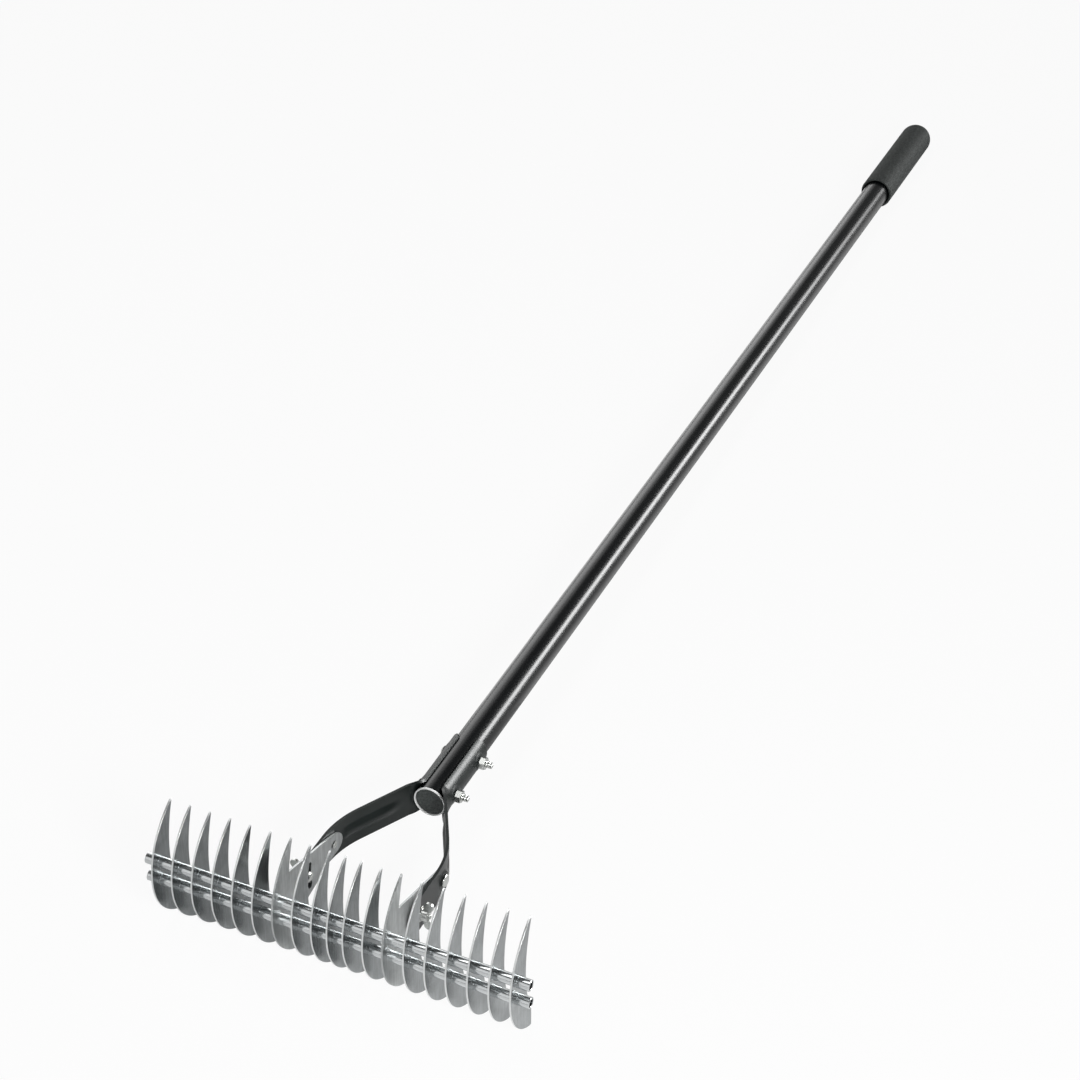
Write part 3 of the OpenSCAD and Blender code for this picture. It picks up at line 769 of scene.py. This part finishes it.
def thread_tree(material):
    """Node tree that winds a thread round each bolt end."""
    tree = bpy.data.node_groups.new("Threads", "GeometryNodeTree")
    tree.interface.new_socket("Ends", in_out="INPUT", socket_type="NodeSocketGeometry")
    for name in ("Radius", "Depth", "Pitch", "Length"):
        tree.interface.new_socket(name, in_out="INPUT", socket_type="NodeSocketFloat")
    tree.interface.new_socket("Threads", in_out="OUTPUT", socket_type="NodeSocketGeometry")
    given = add(tree, "NodeGroupInput")
    length, depth = given.outputs["Length"], given.outputs["Depth"]
    turns = add(tree, "ShaderNodeMath", {0: length, 1: given.outputs["Pitch"]}, operation="DIVIDE")
    root = add(tree, "ShaderNodeMath", {0: given.outputs["Radius"], 1: depth}, operation="SUBTRACT")
    helix = add(tree, "GeometryNodeCurveSpiral",
                {"Resolution": 28, "Rotations": turns.outputs[0], "Start Radius": root.outputs[0],
                 "End Radius": root.outputs[0], "Height": length})
    ridge = add(tree, "GeometryNodeCurvePrimitiveCircle", {"Resolution": 4, "Radius": depth})
    wound = add(tree, "GeometryNodeCurveToMesh",
                {"Curve": helix.outputs[0], "Profile Curve": ridge.outputs[0], "Fill Caps": True})
    turn = add(tree, "GeometryNodeInputNamedAttribute", {"Name": "turn"}, data_type="FLOAT_VECTOR")
    ends = add(tree, "GeometryNodeInstanceOnPoints",
               {"Points": given.outputs["Ends"], "Instance": wound.outputs[0], "Rotation": turn.outputs[0]})
    real = add(tree, "GeometryNodeRealizeInstances", {"Geometry": ends.outputs[0]})
    plated = add(tree, "GeometryNodeSetMaterial", {"Geometry": real.outputs[0], "Material": material})
    add(tree, "NodeGroupOutput", {0: plated.outputs[0]})
    return tree


def bolt(node, side, free, sizes, material):
    """A round-headed bolt along X, its free end cut down to the root of its thread; and its middle."""
    low, high = span(node)
    if side < 0:
        low.x, high.x = -high.x, -low.x
    middle = (low + high) / 2
    head, shank, crown = (high.y - low.y) / 2, sizes.shank_radius, sizes.head_height
    length, root = high.x - low.x, shank - sizes.thread_depth
    dome = (head ** 2 + crown ** 2) / (2 * crown)
    angles = [asin(head / dome) * k / 10 for k in range(1, 10)]
    rings = [(0, 0)] + [(dome * sin(a), dome * (1 - cos(a))) for a in angles]
    rings += [(head, crown - HEAD_RIM), (head - HEAD_UNDERCUT, crown), (shank, crown)]
    rings += [(shank, length - free), (root, length - free + THREAD_RUNOUT), (root, length - TIP_LENGTH)]
    rings += [(root - TIP_CHAMFER, length), (0, length)]
    at = along_x(side * low.x, middle.y, middle.z, side)
    return turned(node + "_turned", rings, [material], at, steps=48), middle


def pivot_screw(node, seat, sizes, material):
    """The solid's screw with its head drawn small and low and its tip ended inside the cap."""
    mesh = copy_of(node)
    low, high = span(node)
    under = min(abs(low.x), abs(high.x)) + sizes.head_height
    small = sizes.pivot_head / (high.y - low.y)
    tip = seat + sizes.cap_height - sizes.pivot_cover
    for vertex in mesh.vertices:
        at = TO_HANDLE @ vertex.co
        x = abs(at.x)
        if x < under + HEAD_TOLERANCE:
            outside = hypot(at.y, at.z) > sizes.shank_radius + SHANK_TOLERANCE
            if outside or x < under - HEAD_TOLERANCE:
                at.y *= small
                at.z *= small
            x = under + sizes.pivot_sink - (under - x) * sizes.pivot_rise / sizes.head_height
        at.x = copysign(min(x, tip), at.x)
        vertex.co = HANDLE @ at
    return piece(node + "_plated", smooth(mesh, 25), [material])


def pivot_cap(name, seat, side, sizes, material):
    """A low round cap on a short neck, on the outside of an arm."""
    neck, radius, rim = sizes.cap_neck_radius, sizes.cap_radius, sizes.cap_rim
    foot, top = sizes.cap_neck, sizes.cap_height
    rings = [(0, 0), (neck, 0), (neck, foot), (radius - rim, foot)]
    rings += arc(radius - rim, foot + rim, rim, -90, 40, 6)
    angles = [radians(75 - 9 * k) for k in range(8)]
    rings += [(radius * sin(a), foot + rim + (top - foot - rim) * cos(a)) for a in angles]
    rings += [(0, top)]
    return turned(name + "_pivot_cap", rings, [material], along_x(side * seat, 0, 0, side), steps=48)


def threads(name, ends, free, sizes, material):
    """Threads on bolt ends of one free length, given as (x, y, z, side) in the handle's frame."""
    points = bpy.data.meshes.new("ends")
    points.from_pydata([HANDLE @ Vector(end[:3]) for end in ends], [], [])
    turn = points.attributes.new("turn", "FLOAT_VECTOR", "POINT")
    for item, end in zip(turn.data, ends):
        item.vector = Euler((0, end[3] * pi / 2, 0))
    made = piece(name, points, [material])
    run_tree(made, thread_tree(material), Radius=sizes.shank_radius, Depth=sizes.thread_depth,
             Pitch=sizes.thread_pitch, Length=free - sizes.thread_stop)
    smooth(made.data, 30)
    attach(made, "handle")


class RAKE_OT_fasteners(bpy.types.Operator):
    """Clamp bolts and nuts, pivot screws and their caps, slot bolts and washers, and the threads"""
    bl_idname = "rake.fasteners"
    bl_label = "Fasteners"

    def execute(self, context):
        sizes, colours = context.scene.rake_sizes, context.scene.rake_colours
        plate = zinc_plate(colours)
        clamp_ends, slot_ends = [], []
        for where in ("lower", "upper"):
            bolt_node, nut_node = "clamp_bolt_" + where, "clamp_nut_" + where
            nut_face = span(nut_node)[1].x
            clamp_free = span(bolt_node)[1].x - nut_face
            made, middle = bolt(bolt_node, 1, clamp_free, sizes, plate)
            place(made, "handle", "zinc", bolt_node)
            clamp_ends.append((nut_face, middle.y, middle.z, 1))
            nut = eased(nut_node, nut_node + "_hex", sizes.small_edge, [plate], 25)
            place(nut, "handle", "zinc", nut_node)
        for name, side in SIDES.items():
            bolt_node, slot_free = name + "_slot_bolt", sizes.slot_bolt_end
            made, middle = bolt(bolt_node, side, slot_free, sizes, plate)
            place(made, "handle", "zinc", bolt_node)
            tip = max(abs(corner.x) for corner in span(bolt_node))
            slot_ends.append((side * (tip - slot_free), middle.y, middle.z, side))
            washer_node = name + "_wing_washer"
            washer = eased(washer_node, washer_node + "_plated", sizes.small_edge, [plate], 25)
            place(washer, "handle", "zinc", washer_node)
            seat = min(abs(corner.x) for corner in span(name + "_pivot_nut"))
            screw = pivot_screw(name + "_pivot_screw", seat, sizes, plate)
            place(screw, "handle", "zinc", name + "_pivot_screw")
            cap = pivot_cap(name, seat, side, sizes, plate)
            place(cap, "handle", "zinc", name + "_pivot_nut")
        threads("slot_bolt_threads", slot_ends, slot_free, sizes, plate)
        threads("bolt_threads", clamp_ends, clamp_free, sizes, plate)
        return {"FINISHED"}


class RAKE_OT_wing_nuts(bpy.types.Operator):
    """Cast wing nuts, their hub and wings blended together"""
    bl_idname = "rake.wing_nuts"
    bl_label = "Wing nuts"

    def execute(self, context):
        sizes, colours = context.scene.rake_sizes, context.scene.rake_colours
        cast = zinc_plate(colours, "Cast and plated zinc", 0.2, 0.38)
        for name in SIDES:
            made = piece(name + "_wing_nut_cast", copy_of(name + "_wing_nut"), [cast])
            skin = made.modifiers.new("Cast skin", "REMESH")
            skin.mode = "VOXEL"
            skin.voxel_size = sizes.cast_grain
            skin.use_smooth_shade = True
            blend = made.modifiers.new("Blend", "SMOOTH")
            blend.factor = 0.5
            blend.iterations = 6
            made = applied(made)
            made.data.shade_smooth()
            place(made, name + "_wing", "zinc", name + "_wing_nut")
        return {"FINISHED"}


# Stage

def lamp(name, at, aim, sides, watts, gloss_only):
    """A soft area lamp that faces a point; one for gloss only leaves the level of the light alone."""
    light = bpy.data.lights.new(name, "AREA")
    light.shape = "RECTANGLE"
    light.size, light.size_y = sides
    light.energy = watts
    made = bpy.data.objects.new(name, light)
    made.location = at
    made.rotation_euler = (Vector(aim) - Vector(at)).to_track_quat("-Z", "Y").to_euler()
    made.visible_camera = False
    made.visible_diffuse = not gloss_only
    bpy.context.scene.collection.objects.link(made)


def floor_paint(stage, colours):
    # Painted studio floor: white to the camera and in part in reflections, plus a painted pool of light that only
    # reflections show, and it keeps a soft shadow
    material = bpy.data.materials.new("White floor paint")
    material.use_nodes = True
    tree = material.node_tree
    tree.nodes.clear()
    path = add(tree, "ShaderNodeLightPath")
    mirrored = add(tree, "ShaderNodeMath", {0: path.outputs["Is Glossy Ray"],
                                            1: path.outputs["Is Transmission Ray"]}, operation="MAXIMUM")
    # Painted pool of light: under the right half of the row, reflections see more plain white in the floor, over
    # its shadow
    scale = [1 / half for half in stage.painted_pool_reach]
    centre = [-at * by for at, by in zip(stage.painted_pool_at, scale)]
    painted_pool_at = add(tree, "ShaderNodeMapping", {0: add(tree, "ShaderNodeTexCoord").outputs["Object"],
                                              "Scale": (*scale, 1), "Location": (*centre, 0)})
    pool = add(tree, "ShaderNodeTexGradient", {0: painted_pool_at.outputs[0]}, gradient_type="SPHERICAL")
    shown = add(tree, "ShaderNodeMapRange", {"Value": pool.outputs["Fac"], "To Min": stage.floor_gloss,
                                             "To Max": stage.painted_pool_gloss})
    gloss = add(tree, "ShaderNodeMath", {0: mirrored.outputs[0], 1: shown.outputs[0]},
                operation="MULTIPLY")
    view = add(tree, "ShaderNodeMath", {0: path.outputs["Is Camera Ray"], 1: stage.floor_white,
                                        2: gloss.outputs[0]}, operation="MULTIPLY_ADD")
    paint = add(tree, "ShaderNodeBsdfDiffuse", {"Color": (*colours.floor, 1)})
    white = add(tree, "ShaderNodeEmission", {"Color": (1, 1, 1, 1), "Strength": 1.0})
    mixed = add(tree, "ShaderNodeMixShader", {0: view.outputs[0], 1: paint.outputs[0],
                                              2: white.outputs[0]})
    add(tree, "ShaderNodeOutputMaterial", {"Surface": mixed.outputs[0]})
    return material


def studio_room(stage):
    # Studio room: pale walls near the floor line, brighter on the right, dark overhead and on the left;
    # white where the camera sees past the floor
    world = bpy.data.worlds.new("Studio")
    world.use_nodes = True
    tree = world.node_tree
    tree.nodes.clear()
    way = add(tree, "ShaderNodeTexCoord").outputs["Generated"]
    height = add(tree, "ShaderNodeSeparateXYZ", {0: way})
    walls = add(tree, "ShaderNodeValToRGB", {"Fac": height.outputs["Z"]})
    for element, light in zip(walls.color_ramp.elements, (stage.wall_light, stage.roof_light)):
        element.color = (light, light, light, 1)
    walls.color_ramp.elements[1].position = stage.roof_from
    to_right = add(tree, "ShaderNodeVectorMath", {0: way, 1: BRIGHT_SIDE}, operation="DOT_PRODUCT")
    lit = add(tree, "ShaderNodeMapRange", {"Value": to_right.outputs["Value"],
                                           "From Min": -BRIGHT_REACH, "From Max": BRIGHT_REACH,
                                           "To Min": stage.left_light, "To Max": stage.right_light})
    room = add(tree, "ShaderNodeBackground", {"Color": walls.outputs[0], "Strength": lit.outputs[0]})
    white = add(tree, "ShaderNodeBackground", {"Color": (1, 1, 1, 1), "Strength": 1.0})
    path = add(tree, "ShaderNodeLightPath")
    mixed = add(tree, "ShaderNodeMixShader", {0: path.outputs["Is Camera Ray"], 1: room.outputs[0],
                                              2: white.outputs[0]})
    add(tree, "ShaderNodeOutputWorld", {"Surface": mixed.outputs[0]})
    return world


class RAKE_OT_stage(bpy.types.Operator):
    """White floor, studio light and the camera"""
    bl_idname = "rake.stage"
    bl_label = "Stage"

    def execute(self, context):
        scene, stage = context.scene, context.scene.rake_stage
        scene.view_settings.view_transform = "Standard"
        camera = bpy.data.objects.new("camera", bpy.data.cameras.new("camera"))
        camera.location = stage.camera_at
        camera.rotation_euler = stage.camera_turn
        camera.data.lens = stage.lens
        camera.data.sensor_width = SENSOR_WIDTH
        scene.collection.objects.link(camera)
        scene.camera = camera
        form = bmesh.new()
        bmesh.ops.create_grid(form, x_segments=1, y_segments=1, size=FLOOR_REACH)
        mesh = bpy.data.meshes.new("floor")
        form.to_mesh(mesh)
        form.free()
        piece("floor", mesh, [floor_paint(stage, scene.rake_colours)])
        scene.world = studio_room(stage)
        for name, values in LAMPS.items():
            lamp(name, *values)
        return {"FINISHED"}


class RAKE_PT_panel(bpy.types.Panel):
    """Lists the rake's pieces, sizes, colours and light in the sidebar"""
    bl_idname = "RAKE_PT_panel"
    bl_label = "Thatch rake"
    bl_space_type = "VIEW_3D"
    bl_region_type = "UI"
    bl_category = "Rake"

    def draw(self, context):
        for operator in OPERATORS:
            self.layout.operator(operator.bl_idname)
        for group in (context.scene.rake_sizes, context.scene.rake_colours, context.scene.rake_stage):
            box = self.layout.box()
            for key in group.__annotations__:
                box.prop(group, key)


OPERATORS = (RAKE_OT_stage, RAKE_OT_tube, RAKE_OT_grip, RAKE_OT_arms, RAKE_OT_blades, RAKE_OT_rods,
             RAKE_OT_fasteners, RAKE_OT_wing_nuts)
GROUPS = {"rake_sizes": RakeSizes, "rake_colours": RakeColours, "rake_stage": RakeStage}


def register():
    for kind in (*GROUPS.values(), *OPERATORS, RAKE_PT_panel):
        bpy.utils.register_class(kind)
    for name, kind in GROUPS.items():
        setattr(bpy.types.Scene, name, PointerProperty(type=kind))


def unregister():
    for name in GROUPS:
        delattr(bpy.types.Scene, name)
    for kind in (RAKE_PT_panel, *reversed(OPERATORS), *GROUPS.values()):
        bpy.utils.unregister_class(kind)


def main():
    register()
    for operator in OPERATORS:
        group, name = operator.bl_idname.split(".")
        getattr(getattr(bpy.ops, group), name)()


if __name__ == "__main__":
    main()
